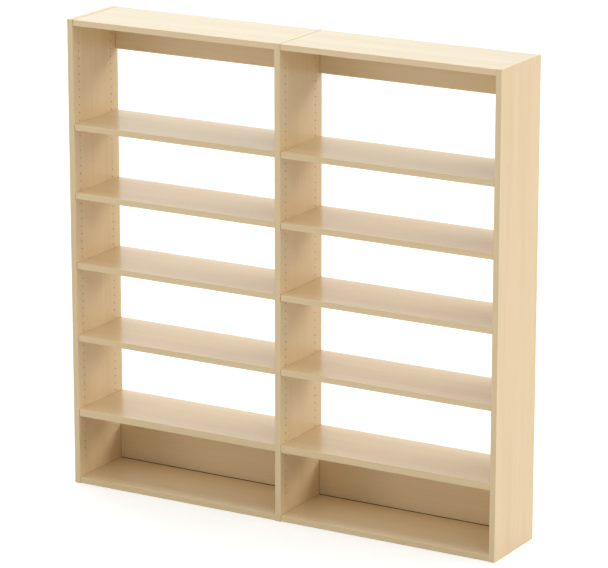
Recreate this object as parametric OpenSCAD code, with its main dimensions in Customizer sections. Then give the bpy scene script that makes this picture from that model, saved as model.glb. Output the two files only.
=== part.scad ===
// Single-sided shelving unit: two bays between three line-bored uprights.
// Millimetres, Z up, front towards -Y, origin on the floor at the centre of the unit.

/* [Unit] */
// Clear width of one bay, between the faces of two uprights
bay_width = 950; // [600:10:1200]
// Height of the uprights
unit_height = 1975; // [1800:5:2300]
// Depth of the uprights, front to rear
unit_depth = 332; // [280:1:450]

/* [Boards] */
// Thickness of the uprights
upright_t = 25; // [24:1:38]
// Thickness of the top and bottom boards
board_t = 25; // [22:1:38]
// Thickness of the loose shelves and of the middle shelf
shelf_t = 25; // [22:1:32]
// Thickness of the base shelf, which closes the panelled compartment
base_shelf_t = 30; // [22:1:38]
// Thickness of the top rail and of the back panel
back_t = 16; // [15:1:19]
// Height of the top rail and of the back panel, which leaves a gap under the base shelf
rail_h = 148; // [120:1:220]

/* [Setbacks and gaps] */
// How far the fronts of the boards lie behind the fronts of the uprights
front_set = 3; // [0.5:0.5:10]
// How far the rears of the shelves lie before the rears of the uprights
rear_set = 3; // [0.5:0.5:10]
// How far the top and bottom boards stay inside the ends of the uprights
end_set = 1; // [0.5:0.5:5]
// Gap at each end of a fixed board
joint_gap = 0.2; // [0.1:0.1:0.5]
// Gap at each end of a loose shelf
shelf_play = 1.5; // [1.3:0.1:3]
// Gap under the back panel
panel_lift = 2; // [1:0.5:6]
// Gap over the top rail
rail_drop = 0.5; // [0.2:0.1:2]
// Clearance all round a dowel, bolt, cam or support in its bore
fit_gap = 0.1; // [0.05:0.05:0.2]

/* [Edge bands] */
// Thickness of the bands on the front edges
band_t = 2; // [1.5:0.5:3]
// Radius of their long arrises
band_r = 1.5; // [0.5:0.25:1.5]
// Thickness of the bands on all other edges
thin_t = 1; // [0.5:0.5:2]
// Seam where two bands meet at a corner
seam = 0.1; // [0.05:0.05:0.3]

/* [Line boring] */
// Diameter of the bores, and of the shanks that fit them
pin_d = 5; // [4:0.5:6]
// Depth of the bores
bore_depth = 11; // [8:0.5:11.5]
// Distance from one bore to the next
pitch = 32; // [28:1:33]
// Height of the lowest bore
first_bore = 110.5; // [100:0.5:130]
// Least height left free between the highest bore and the top board
top_clear = 60; // [40:5:90]
// Distance of the front row from the fronts of the uprights
front_row = 44; // [37:1:60]
// Distance of the rear row from the rears of the uprights
rear_row = 53; // [40:1:70]

/* [Shelf places, counted in bores from the lowest one, which is 0] */
// Bore that the bolts of the base shelf use
base_bore = 6; // [5:1:8]
// Bore under the lower loose shelf
lower_bore = 16; // [13:1:20]
// Bore that the bolts of the middle shelf use
middle_bore = 26; // [24:1:28]
// Bore under the upper loose shelf
upper_bore = 35; // [31:1:38]
// Bore under the high loose shelf
high_bore = 44; // [42:1:46]

/* [Shelf supports] */
// How far the seat of a support lies below the middle of its bore
seat_drop = 3; // [1:0.5:4]
// Thickness of the ledge that the shelf lies on
ledge_t = 2; // [1.5:0.5:3]
// Length of the ledge, out of the upright
ledge_l = 11; // [8:1:16]
// Width of the support
support_w = 9; // [8:1:12]
// Thickness of the plate that lies against the upright
plate_t = 1; // [0.8:0.1:1.2]

/* [Fittings] */
// Diameter of the dowels
dowel_d = 8; // [6:1:10]
// Length of the dowels
dowel_l = 35; // [28:1:40]
// Length of a dowel inside the upright
dowel_in = 10; // [8:0.5:11]
// Distance from a bolt to the dowel beside it
dowel_step = 32; // [24:1:48]
// Diameter of the cams
cam_d = 15; // [14:0.5:18]
// Height of a cam above the axis of its bolt
cam_over = 4.5; // [4.5:0.5:6]
// Distance from the face of the upright to the middle of the cam
cam_reach = 34; // [24:1:40]
// Bore for the bolt in the end of a board
bolt_bore_d = 8; // [7.5:0.5:9]
// Diameter of the neck of a bolt
neck_d = 4; // [3:0.5:4]
// Diameter of the head of a bolt
head_d = 6.5; // [5.5:0.5:6.5]
// Length of the head of a bolt
head_l = 4; // [3:0.5:5]
// Length of the collar that stops a bolt at the upright
collar_l = 3; // [2:0.5:5]
// Distance of the fittings of the rail and panel from their upper and lower edges
back_inset = 32; // [24:1:40]

/* [Hidden] */
$fn = 48;

front_y = -unit_depth / 2;
rear_y = unit_depth / 2;
row_y = [front_y + front_row, rear_y - rear_row];
dowel_y = [row_y[0] + dowel_step, row_y[1] - dowel_step];

bay_x = (bay_width + upright_t) / 2;
outer_x = bay_width + upright_t;
face_x = bay_width / 2;
board_half = face_x - joint_gap;
shelf_half = face_x - shelf_play;

board_front = front_y + front_set;
shelf_rear = rear_y - rear_set;

// The cams of the rail, the panel and the base shelf are one size
small_axis = back_t / 2;

bottom_z = end_set;
top_z = unit_height - end_set - board_t;
middle_z = bore_z(middle_bore) - shelf_t / 2;
base_z = bore_z(base_bore) - small_axis;
rail_z = top_z - rail_drop - rail_h;
panel_z = bottom_z + board_t + panel_lift;

last_bore = floor((top_z - top_clear - first_bore) / pitch);

// The bottom, base, middle and top boards: underside, thickness, axis of the bolts above the underside
FIXED = [
    [bottom_z, board_t, board_t / 2],
    [base_z, base_shelf_t, small_axis],
    [middle_z, shelf_t, shelf_t / 2],
    [top_z, board_t, board_t / 2]
];
// The panel and the rail: underside, height
BACKS = [[panel_z, rail_h], [rail_z, rail_h]];
LOOSE = [lower_bore, upper_bore, high_bore];

shank_d = pin_d - 2 * fit_gap;
// Room left at the blind end of a bore, and all round the head of a bolt in its cam
end_play = 0.5;
// How far a cutter runs past the face that it cuts
over = 1;

laminate = [0.90, 0.80, 0.64];
laminate_inner = [0.86, 0.75, 0.57];
band_colour = [0.84, 0.75, 0.56];
steel = [0.72, 0.73, 0.74];
zinc = [0.62, 0.63, 0.64];
beech = [0.82, 0.66, 0.46];

function bore_z(n) = first_bore + n * pitch;
function is_fixing(n) = n == base_bore || n == middle_bore;
function back_bolts(b) = [b[0] + back_inset, b[0] + b[1] - back_inset];

// Puts a bay's pieces in the left (-1) or right (1) bay
module in_bay(side) {
    translate([side * bay_x, 0, 0]) children();
}

// A cylinder of length l that starts at x = 0 and runs towards +X
module x_cylinder(d, l) {
    rotate([0, 90, 0]) cylinder(d = d, h = l);
}

// Both ends of a bay: x = 0 is the face of the upright, +X runs into the bay
module at_bay_ends() {
    for (side = [-1, 1])
        mirror([side > 0 ? 1 : 0, 0, 0]) translate([-face_x, 0, 0]) children();
}

// Places of the bolts on a bay's end
module at_bolts() {
    for (b = FIXED, y = row_y) translate([0, y, b[0] + b[2]]) children();
    for (b = BACKS, z = back_bolts(b)) translate([0, rear_y - small_axis, z]) children();
}

// Places of the dowels on a bay's end
module at_dowels() {
    for (b = FIXED, y = dowel_y) translate([0, y, b[0] + b[2]]) children();
    for (b = BACKS) translate([0, rear_y - small_axis, b[0] + b[1] / 2]) children();
}

// Places of the supports on a bay's end
module at_supports() {
    for (n = LOOSE, y = row_y) translate([0, y, bore_z(n)]) children();
}

// Bores in the face of an upright at x = 0, going into -X
module face_bores() {
    mirror([1, 0, 0]) translate([-over, 0, 0]) {
        for (n = [0 : last_bore], y = row_y)
            if (!is_fixing(n)) translate([0, y, bore_z(n)]) x_cylinder(pin_d, bore_depth + over);
        at_dowels() x_cylinder(dowel_d, dowel_in + end_play + over);
    }
}

// Bores for the bolts: a single bolt stops inside the upright, a double one passes through
module bolt_bores(l) {
    at_bolts() translate([-l, 0, 0]) x_cylinder(pin_d, l + over);
}

module upright_core() {
    translate([-upright_t / 2, front_y + band_t, thin_t])
        cube([upright_t, unit_depth - band_t - thin_t, unit_height - 2 * thin_t]);
}

// An outer upright, on the left side; the right one is its mirror image
module outer_upright() {
    difference() {
        upright_core();
        translate([upright_t / 2, 0, 0]) {
            face_bores();
            bolt_bores(bore_depth);
        }
    }
}

module left_upright() {
    color(laminate) translate([-outer_x, 0, 0]) outer_upright();
}

module right_upright() {
    color(laminate) mirror([1, 0, 0]) translate([-outer_x, 0, 0]) outer_upright();
}

module middle_upright() {
    color(laminate) difference() {
        upright_core();
        for (side = [0, 1])
            mirror([side, 0, 0]) translate([upright_t / 2, 0, 0]) face_bores();
        translate([upright_t / 2, 0, 0]) bolt_bores(upright_t + over);
    }
}

// Cross-section of a front band: t deep, w wide, with its two outer arrises rounded
module band_profile(t, w) {
    r = min(band_r, t);
    difference() {
        square([t, w]);
        for (far = [0, 1]) translate([0, far * w]) mirror([0, far]) difference() {
            translate([-over, -over]) square(r + over);
            translate([r, r]) circle(r);
        }
    }
}

// Front band of a board that is l long and t thick, its outer face at y = 0
module front_band(l, t) {
    translate([-l / 2, 0, 0]) rotate([90, 0, 90]) linear_extrude(l) band_profile(band_t, t);
}

// Bands of an upright: the front and rear ones run its full height, the end ones lie between them
module upright_edging(x) {
    end_front = front_y + band_t + seam;
    end_d = rear_y - thin_t - seam - end_front;
    color(band_colour) translate([x - upright_t / 2, 0, 0]) {
        translate([0, front_y, 0]) rotate([0, 0, 90]) mirror([0, 1, 0])
            linear_extrude(unit_height) band_profile(band_t, upright_t);
        translate([0, rear_y - thin_t, 0]) cube([upright_t, thin_t, unit_height]);
        for (z = [0, unit_height - thin_t])
            translate([0, end_front, z]) cube([upright_t, end_d, thin_t]);
    }
}

// Bores in the end of a lying board; z = 0 is the axis, the face of the upright is x = 0
module lying_end_bores(axis) {
    for (y = row_y) translate([0, y, 0]) {
        x_cylinder(bolt_bore_d, cam_reach);
        translate([cam_reach, 0, -axis - over]) cylinder(d = cam_d, h = axis + cam_over + over);
    }
    for (y = dowel_y) translate([0, y, 0]) x_cylinder(dowel_d, dowel_l - dowel_in + end_play);
}

// A fixed board between two uprights; b is its row in FIXED
module fixed_board(side, b, rear) {
    color(laminate_inner) in_bay(side) difference() {
        translate([-board_half, board_front + band_t, b[0]])
            cube([2 * board_half, rear - thin_t - board_front - band_t, b[1]]);
        at_bay_ends() translate([0, 0, b[0] + b[2]]) lying_end_bores(b[2]);
    }
}

module fixed_edging(side, b, rear) {
    color(band_colour) in_bay(side) {
        translate([0, board_front, b[0]]) front_band(2 * board_half, b[1]);
        translate([-board_half, rear - thin_t, b[0]]) cube([2 * board_half, thin_t, b[1]]);
    }
}

module bottom_board(side) { fixed_board(side, FIXED[0], rear_y); }
module base_shelf(side) { fixed_board(side, FIXED[1], shelf_rear); }
module middle_shelf(side) { fixed_board(side, FIXED[2], shelf_rear); }
module top_board(side) { fixed_board(side, FIXED[3], rear_y); }

module bottom_edging(side) { fixed_edging(side, FIXED[0], rear_y); }
module base_edging(side) { fixed_edging(side, FIXED[1], shelf_rear); }
module middle_edging(side) { fixed_edging(side, FIXED[2], shelf_rear); }
module top_edging(side) { fixed_edging(side, FIXED[3], rear_y); }

// The rail or the panel, standing between the uprights with its cams in its rear face
module back_board(side, b) {
    color(laminate_inner) in_bay(side) difference() {
        translate([-board_half, rear_y - back_t, b[0] + thin_t])
            cube([2 * board_half, back_t, b[1] - 2 * thin_t]);
        at_bay_ends() translate([0, rear_y - small_axis, 0]) {
            for (z = back_bolts(b)) translate([0, 0, z]) {
                x_cylinder(bolt_bore_d, cam_reach);
                translate([cam_reach, small_axis + over, 0]) rotate([90, 0, 0])
                    cylinder(d = cam_d, h = small_axis + cam_over + over);
            }
            translate([0, 0, b[0] + b[1] / 2]) x_cylinder(dowel_d, dowel_l - dowel_in + end_play);
        }
    }
}

module back_panel(side) { back_board(side, BACKS[0]); }
module top_rail(side) { back_board(side, BACKS[1]); }

module back_edging(side) {
    color(band_colour) in_bay(side)
        for (b = BACKS, z = [b[0], b[0] + b[1] - thin_t])
            translate([-board_half, rear_y - back_t, z]) cube([2 * board_half, back_t, thin_t]);
}

// A loose shelf lies on four supports; n is the bore that they plug into
module loose_shelf(side, n) {
    color(laminate_inner) in_bay(side)
        translate([-shelf_half + thin_t, board_front + band_t, bore_z(n) - seat_drop])
            cube([2 * (shelf_half - thin_t), shelf_rear - thin_t - board_front - band_t, shelf_t]);
}

module loose_edging(side, n) {
    end_front = board_front + band_t + seam;
    end_d = shelf_rear - thin_t - seam - end_front;
    color(band_colour) in_bay(side) translate([0, 0, bore_z(n) - seat_drop]) {
        translate([0, board_front, 0]) front_band(2 * shelf_half, shelf_t);
        translate([-shelf_half, shelf_rear - thin_t, 0]) cube([2 * shelf_half, thin_t, shelf_t]);
        for (x = [-shelf_half, shelf_half - thin_t])
            translate([x, end_front, 0]) cube([thin_t, end_d, shelf_t]);
    }
}

// A steel support: shank in the bore, plate against the upright, ledge under the shelf
module support() {
    shank_l = bore_depth - end_play;
    union() {
        translate([-shank_l, 0, 0]) x_cylinder(shank_d, shank_l + plate_t / 2);
        x_cylinder(support_w, plate_t);
        translate([0, -support_w / 2, -seat_drop - ledge_t]) cube([plate_t, support_w, seat_drop + ledge_t]);
        translate([0, -support_w / 2, -seat_drop - ledge_t]) cube([ledge_l, support_w, ledge_t]);
    }
}

module shelf_supports(side) {
    color(steel) in_bay(side) at_bay_ends() at_supports() support();
}

// A hardwood dowel along X with chamfered ends, half of it shown in the profile
module dowel() {
    r = dowel_d / 2 - fit_gap;
    chamfer = r / 4;
    translate([-dowel_in, 0, 0]) rotate([0, 90, 0]) rotate_extrude()
        polygon([[0, 0], [r - chamfer, 0], [r, chamfer], [r, dowel_l - chamfer],
                 [r - chamfer, dowel_l], [0, dowel_l]]);
}

module dowels(side) {
    color(beech) in_bay(side) at_bay_ends() at_dowels() dowel();
}

// A cam seen from its open end: a drum with a bore for the head and a cross slot to turn it
module cam(axis) {
    slot_w = 1.2;
    slot_l = 7;
    slot_depth = 2.5;
    pocket = head_d + 2 * end_play;
    difference() {
        translate([0, 0, -axis]) cylinder(d = cam_d - 2 * fit_gap, h = axis + cam_over);
        translate([-cam_d, 0, 0]) x_cylinder(pocket, cam_d + pocket / 2);
        for (turn = [45, 135]) rotate([0, 0, turn])
            translate([-slot_l / 2, -slot_w / 2, -axis - over]) cube([slot_l, slot_w, slot_depth + over]);
    }
}

module large_cams(side) {
    color(zinc) in_bay(side) at_bay_ends()
        for (b = FIXED, y = row_y) if (b[2] != small_axis)
            translate([cam_reach, y, b[0] + b[2]]) cam(b[2]);
}

module small_cams(side) {
    color(zinc) in_bay(side) at_bay_ends() {
        for (y = row_y) translate([cam_reach, y, base_z + small_axis]) cam(small_axis);
        for (b = BACKS, z = back_bolts(b))
            translate([cam_reach, rear_y - small_axis, z]) rotate([90, 0, 0]) cam(small_axis);
    }
}

// The half of a bolt that reaches from the upright into the cam
module bolt_reach(start) {
    head_end = cam_reach + head_l / 2;
    translate([start, 0, 0]) x_cylinder(neck_d, head_end - start);
    translate([head_end - head_l, 0, 0]) x_cylinder(head_d, head_l);
}

// A bolt for an outer upright: threaded shank, collar against the face, neck and head
module single_bolt() {
    shank_l = bore_depth - end_play;
    union() {
        translate([-shank_l, 0, 0]) x_cylinder(shank_d, shank_l + collar_l / 2);
        x_cylinder(bolt_bore_d - 4 * fit_gap, collar_l);
        bolt_reach(collar_l / 2);
    }
}

// A bolt for the middle upright: a plain shank right through it and a head at each end
module double_bolt() {
    union() {
        translate([-upright_t / 2 - collar_l, 0, 0]) x_cylinder(shank_d, upright_t + 2 * collar_l);
        for (side = [0, 1])
            mirror([side, 0, 0]) translate([upright_t / 2, 0, 0]) bolt_reach(0);
    }
}

module outer_bolts() {
    color(steel) translate([-bay_x - face_x, 0, 0]) at_bolts() single_bolt();
}

module left_cam_bolts() { outer_bolts(); }
module right_cam_bolts() { mirror([1, 0, 0]) outer_bolts(); }
module double_cam_bolts() { color(steel) at_bolts() double_bolt(); }

left_upright();
middle_upright();
right_upright();
upright_edging(-outer_x);  // left_upright_edging
upright_edging(0);  // middle_upright_edging
upright_edging(outer_x);  // right_upright_edging

bottom_board(-1);  // left_bottom_board
base_shelf(-1);  // left_base_shelf
middle_shelf(-1);  // left_middle_shelf
top_board(-1);  // left_top_board
bottom_board(1);  // right_bottom_board
base_shelf(1);  // right_base_shelf
middle_shelf(1);  // right_middle_shelf
top_board(1);  // right_top_board

bottom_edging(-1);  // left_bottom_edging
base_edging(-1);  // left_base_edging
middle_edging(-1);  // left_middle_edging
top_edging(-1);  // left_top_edging
bottom_edging(1);  // right_bottom_edging
base_edging(1);  // right_base_edging
middle_edging(1);  // right_middle_edging
top_edging(1);  // right_top_edging

back_panel(-1);  // left_back_panel
top_rail(-1);  // left_top_rail
back_panel(1);  // right_back_panel
top_rail(1);  // right_top_rail
back_edging(-1);  // left_back_edging
back_edging(1);  // right_back_edging

loose_shelf(-1, lower_bore);  // left_lower_shelf
loose_shelf(-1, upper_bore);  // left_upper_shelf
loose_shelf(-1, high_bore);  // left_high_shelf
loose_shelf(1, lower_bore);  // right_lower_shelf
loose_shelf(1, upper_bore);  // right_upper_shelf
loose_shelf(1, high_bore);  // right_high_shelf
loose_edging(-1, lower_bore);  // left_lower_edging
loose_edging(-1, upper_bore);  // left_upper_edging
loose_edging(-1, high_bore);  // left_high_edging
loose_edging(1, lower_bore);  // right_lower_edging
loose_edging(1, upper_bore);  // right_upper_edging
loose_edging(1, high_bore);  // right_high_edging

shelf_supports(-1);  // left_shelf_supports
shelf_supports(1);  // right_shelf_supports
dowels(-1);  // left_dowels
dowels(1);  // right_dowels
large_cams(-1);  // left_large_cams
large_cams(1);  // right_large_cams
small_cams(-1);  // left_small_cams
small_cams(1);  // right_small_cams
left_cam_bolts();
right_cam_bolts();
double_cam_bolts();
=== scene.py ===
# %% [markdown]
# # A shelving unit of two bays in pale laminated board
# The unit is made of boards: three uprights drilled with rows of small bores, boards
# fixed between them, and shelves that lie loose on little steel supports. Every board
# comes from the construction model in its true place and size, so this script gives
# those boards their finish, and models afresh the small fittings whose form shows only
# when one comes close. The first step brings in the model and keeps its box.

# %% Bring in the model
import math

import bmesh
import bpy
from mathutils import Matrix, Vector


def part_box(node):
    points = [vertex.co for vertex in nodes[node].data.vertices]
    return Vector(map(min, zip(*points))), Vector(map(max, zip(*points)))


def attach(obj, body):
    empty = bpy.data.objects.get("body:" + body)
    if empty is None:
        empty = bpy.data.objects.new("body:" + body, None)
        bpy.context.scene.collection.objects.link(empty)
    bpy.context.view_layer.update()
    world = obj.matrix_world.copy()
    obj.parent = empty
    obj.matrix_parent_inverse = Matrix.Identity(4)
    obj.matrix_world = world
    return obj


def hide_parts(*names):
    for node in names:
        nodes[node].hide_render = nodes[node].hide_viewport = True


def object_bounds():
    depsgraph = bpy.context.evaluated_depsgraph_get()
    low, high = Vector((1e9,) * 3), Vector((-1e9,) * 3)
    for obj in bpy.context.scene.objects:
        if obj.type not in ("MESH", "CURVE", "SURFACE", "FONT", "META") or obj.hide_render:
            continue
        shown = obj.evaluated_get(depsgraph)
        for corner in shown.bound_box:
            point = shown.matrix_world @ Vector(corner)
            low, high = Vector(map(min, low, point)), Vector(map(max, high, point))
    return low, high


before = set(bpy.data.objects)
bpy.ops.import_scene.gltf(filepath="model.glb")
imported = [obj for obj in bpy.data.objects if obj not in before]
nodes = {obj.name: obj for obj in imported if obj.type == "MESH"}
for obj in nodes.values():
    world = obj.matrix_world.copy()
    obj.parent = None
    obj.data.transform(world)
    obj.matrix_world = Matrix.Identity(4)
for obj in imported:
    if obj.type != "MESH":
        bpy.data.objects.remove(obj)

scene = bpy.context.scene
cad_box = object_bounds()
print("nodes:", len(nodes), "box:", [round(c, 3) for corner in cad_box for c in corner])

# %% [markdown]
# A product picture is taken from far away with a long lens, so that upright edges stay
# nearly parallel. The place, turn and lens below were found from the straight edges of
# the unit in the photograph. A camera looks down its own Z axis, so a level view is a
# quarter turn about X, and looking down takes some of that away. Blender gives a lens
# and its sensor in millimetres, and all other lengths in metres.

# %% Camera
QUARTER_TURN = math.radians(90)
CAMERA_PLACE = (6.918, -11.828, 4.735)
CAMERA_TURN = math.radians(30.227)
CAMERA_DOWN = math.radians(15.403)
SENSOR_WIDTH = 36.0
LENS = 209.0
FAR_END = 200.0

camera_data = bpy.data.cameras.new("far_camera")
camera_data.sensor_width = SENSOR_WIDTH
camera_data.lens = LENS
camera_data.clip_end = FAR_END
camera = bpy.data.objects.new("far_camera", camera_data)
camera.location = CAMERA_PLACE
camera.rotation_euler = (QUARTER_TURN - CAMERA_DOWN, 0.0, CAMERA_TURN)
scene.collection.objects.link(camera)
scene.camera = camera
print("camera is", round(Vector(CAMERA_PLACE).length, 2), "m from the unit's foot")

# %% [markdown]
# The light is that of a white studio. A room of white walls could be built, but a world
# that glows evenly from all round does the same without corners. It fills the shadows,
# and a satin board mirrors it. The camera, and anything glossy or clear, has to see it
# as plain white whatever its glow on the object, and the Light Path node tells these
# rays apart. The look of the world is a tree of shader nodes, as every finish is. Each
# helper below adds one node and links it, so that a tree reads like a recipe.

# %% Helpers for shader nodes
def shader_node(tree, kind, **settings):
    """Adds one shader node and gives it its settings."""
    made = tree.nodes.new("ShaderNode" + kind)
    for name, value in settings.items():
        setattr(made, name, value)
    return made


def feed(tree, socket, value):
    """Gives a socket a fixed value, or links it to another socket."""
    if isinstance(value, bpy.types.NodeSocket):
        tree.links.new(value, socket)
    else:
        socket.default_value = value


def maths(tree, operation, first, second=0.0):
    """One sum, from numbers or sockets."""
    made = shader_node(tree, "Math", operation=operation)
    feed(tree, made.inputs[0], first)
    feed(tree, made.inputs[1], second)
    return made.outputs["Value"]


def spread(tree, value, low, high, new_low, new_high):
    """Turns values from low to high into values from new_low to new_high, and stops there."""
    made = shader_node(tree, "MapRange")
    feed(tree, made.inputs["Value"], value)
    made.inputs["From Min"].default_value = low
    made.inputs["From Max"].default_value = high
    made.inputs["To Min"].default_value = new_low
    made.inputs["To Max"].default_value = new_high
    return made.outputs["Result"]


def seen_as_white(tree):
    """1 for what the camera sees, straight, mirrored or through glass, and 0 for other light."""
    ray = shader_node(tree, "LightPath")
    mirrored = maths(tree, "MAXIMUM", ray.outputs["Is Glossy Ray"], ray.outputs["Is Transmission Ray"])
    return maths(tree, "MAXIMUM", ray.outputs["Is Camera Ray"], mirrored)


print("helpers for shader nodes: shader_node, feed, maths, spread, seen_as_white")

# %% World
ROOM_GLOW = 0.46
WHITE = (1.0, 1.0, 1.0, 1.0)

scene.view_settings.view_transform = "Standard"
world = bpy.data.worlds.new("white_room")
world.use_nodes = True
scene.world = world
tree = world.node_tree
sky = tree.nodes["Background"]
sky.inputs["Color"].default_value = WHITE
feed(tree, sky.inputs["Strength"], spread(tree, seen_as_white(tree), 0.0, 1.0, ROOM_GLOW, 1.0))
print("room glow on the object:", ROOM_GLOW)

# %% [markdown]
# Broad lamps model the form. Near lamps would light one bay more than the other, so
# these are sun lamps, which stand for lamps that are very far away. The angle of a
# sun's disc is how broad it is: a wide disc gives soft shadows. Each face of the unit
# looks another way, so the brightness of every face tells which lamps light it, and
# these eight were chosen so that all faces together come out as bright as they look in
# the photograph.

# %% Lamps
# Each lamp: its turn about the unit from +X towards +Y and its height, both in degrees,
# then its strength and the width of its disc, again in degrees
LAMPS = {
    "overhead_lamp": (0, 90, 0.72, 40),
    "right_lamp": (0, 42, 0.54, 20),
    "right_rear_lamp": (25, 22, 0.55, 20),
    "low_rear_lamp": (45, 22, 0.33, 20),
    "left_rear_lamp": (135, 32, 0.32, 40),
    "high_rear_lamp": (135, 55, 0.54, 40),
    "low_left_lamp": (225, 12, 0.35, 24),
    "front_lamp": (315, 42, 0.27, 20),
}


def towards(turn, height):
    """The way from the unit towards a lamp, from its turn and its height in degrees."""
    turn = math.radians(turn)
    height = math.radians(height)
    level = math.cos(height)
    return Vector((level * math.cos(turn), level * math.sin(turn), math.sin(height)))


def add_lamp(name, way, strength, disc):
    """A far lamp; way points from the unit to it, and disc is its angle across in degrees."""
    data = bpy.data.lights.new(name, "SUN")
    data.energy = strength
    data.angle = math.radians(disc)
    lamp = bpy.data.objects.new(name, data)
    lamp.rotation_euler = way.to_track_quat("Z", "Y").to_euler()
    scene.collection.objects.link(lamp)


for lamp_name, (turn, height, strength, disc) in LAMPS.items():
    add_lamp(lamp_name, towards(turn, height), strength, disc)
    print("lamp:", lamp_name, "strength", strength)

# %% [markdown]
# The floor is one large flat sheet, and needs no curved backdrop, because the room
# behind it is white already. It takes the unit's shadow and throws light back up under
# the shelves, as a studio floor does, and how much it throws back depends on its paint,
# which is a pale grey. To the camera and in gloss it also glows a little, which lifts
# it to the white of the room, so that no edge shows and the shadow stays faint and
# soft. Its finish is the first material. A number that is the same all over a piece is
# set on the shader itself, and only what changes over the surface goes through nodes.
# Patterns read the object's own coordinates, so that they keep their size in metres.

# %% Helpers for finishes
# Noise lies between 0 and 1, but nearly all of it between these
MOST_NOISE = (0.3, 0.7)


def paint(red, green, blue):
    """A colour from 0 to 255 as on a paint chart, turned into linear light by the sRGB curve."""
    def linear(part):
        part = part / 255
        return part / 12.92 if part <= 0.04045 else ((part + 0.055) / 1.055) ** 2.4
    return (linear(red), linear(green), linear(blue), 1.0)


def new_finish(name):
    """A material, its node tree and its one surface shader."""
    material = bpy.data.materials.new(name)
    material.use_nodes = True
    return material, material.node_tree, material.node_tree.nodes["Principled BSDF"]


def place(tree, squeeze=(1.0, 1.0, 1.0)):
    """Object coordinates, squeezed along some axes so that a pattern stretches there."""
    where = shader_node(tree, "TexCoord")
    mapping = shader_node(tree, "Mapping")
    mapping.inputs["Scale"].default_value = squeeze
    tree.links.new(where.outputs["Object"], mapping.inputs["Vector"])
    return mapping.outputs["Vector"]


def noise(tree, where, fineness, detail=2.0):
    """Soft random patches, some 1 / fineness metres across, with finer ones on them."""
    made = shader_node(tree, "TexNoise")
    feed(tree, made.inputs["Vector"], where)
    made.inputs["Scale"].default_value = fineness
    made.inputs["Detail"].default_value = detail
    return made.outputs["Fac"]


print("helpers for finishes: paint, new_finish, place, noise")

# %% Floor
FLOOR_HALF = 40.0
FLOOR_PAINT = paint(206, 206, 205)
FLOOR_MOTTLE = 3.0
FLOOR_DULL = (0.75, 0.85)
FLOOR_SHINE = 0.2
FLOOR_LIFT = 0.5

bpy.ops.object.select_all(action="DESELECT")
bpy.ops.mesh.primitive_plane_add(size=2 * FLOOR_HALF, location=(0.0, 0.0, 0.0))
floor = bpy.context.object
floor.name = "studio_floor"
floor_finish, tree, shader = new_finish("studio_floor")
mottle = noise(tree, place(tree), FLOOR_MOTTLE)
shader.inputs["Base Color"].default_value = FLOOR_PAINT
feed(tree, shader.inputs["Roughness"], spread(tree, mottle, *MOST_NOISE, *FLOOR_DULL))
shader.inputs["Specular IOR Level"].default_value = FLOOR_SHINE
shader.inputs["Emission Color"].default_value = WHITE
feed(tree, shader.inputs["Emission Strength"], maths(tree, "MULTIPLY", seen_as_white(tree), FLOOR_LIFT))
floor.data.materials.append(floor_finish)
print("floor is", 2 * FLOOR_HALF, "m square")

# %% [markdown]
# ## Laminated board
# The boards are particle board under a thin skin that is printed and pressed. The print
# is a quiet pale wood figure along the board. A picture of wood could be laid on, but
# it would repeat and blur close by, so the figure is built from noise that is squeezed
# along the grain: clouds of tone, streaks and fibres, each narrower than the last, and
# small flecks.

# %% Helpers for mixing and relief
EVENLY = 0.5
# A Mix node keeps its sockets for numbers, vectors and colours side by side. These are
# the places of its two inputs and of its result.
MIX_SOCKETS = {"FLOAT": (2, 3, 0), "RGBA": (6, 7, 2)}


def blend(tree, kind, share, first, second):
    """First fading into second by a share from 0 to 1."""
    first_socket, second_socket, result = MIX_SOCKETS[kind]
    made = shader_node(tree, "Mix", data_type=kind)
    feed(tree, made.inputs[0], share)
    feed(tree, made.inputs[first_socket], first)
    feed(tree, made.inputs[second_socket], second)
    return made.outputs[result]


def blend_paint(tree, share, first, second):
    """One colour fading into another."""
    return blend(tree, "RGBA", share, first, second)


def blend_value(tree, share, first, second):
    """One number fading into another."""
    return blend(tree, "FLOAT", share, first, second)


def raise_surface(tree, shader, height, depth):
    """Bump: height goes from 0 to 1 and depth is what 1 stands for, in metres."""
    bump = shader_node(tree, "Bump")
    bump.inputs["Strength"].default_value = 1.0
    bump.inputs["Distance"].default_value = depth
    feed(tree, bump.inputs["Height"], height)
    tree.links.new(bump.outputs["Normal"], shader.inputs["Normal"])


print("helpers for mixing and relief: blend, blend_paint, blend_value, raise_surface")

# %% Wood figure
X, Y, Z = 0, 1, 2
# Each pattern: how many times longer than wide its patches are, how many of them lie in
# a metre across the grain, and how many layers of finer ones lie on them
CLOUD = (16.0, 12.0, 2.0)
STREAK = (110.0, 150.0, 4.0)
FIBRE = (200.0, 900.0, 2.0)
FLECK = (25.0, 1800.0, 1.0)
# How much of the streaks goes over the clouds, and of the fibres over both
STREAK_SHARE = 0.45
FIBRE_SHARE = 0.22
# The middle of the noise, spread for strong contrast, and its few highest peaks
MID_NOISE = (0.4, 0.6)
RARE_NOISE = (0.62, 0.72)


def pattern(tree, kind, axis=X):
    """Noise of one kind, drawn out along an axis, 0 for X, 1 for Y, 2 for Z."""
    stretch, fineness, detail = kind
    squeeze = tuple(1.0 / stretch if i == axis else 1.0 for i in range(3))
    return noise(tree, place(tree, squeeze), fineness, detail)


def wood_figure(tree, axis):
    """Figure of the print from 0, dark, to 1, light, and its fibres, along one axis."""
    fibre = pattern(tree, FIBRE, axis)
    soft = blend_value(tree, STREAK_SHARE, pattern(tree, CLOUD, axis), pattern(tree, STREAK, axis))
    figure = blend_value(tree, FIBRE_SHARE, soft, fibre)
    return spread(tree, figure, *MID_NOISE, 0.0, 1.0), fibre


def wood_flecks(tree, axis):
    """1 on the small flecks that lie along one axis, and 0 between them."""
    return spread(tree, pattern(tree, FLECK, axis), *RARE_NOISE, 0.0, 1.0)


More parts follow.
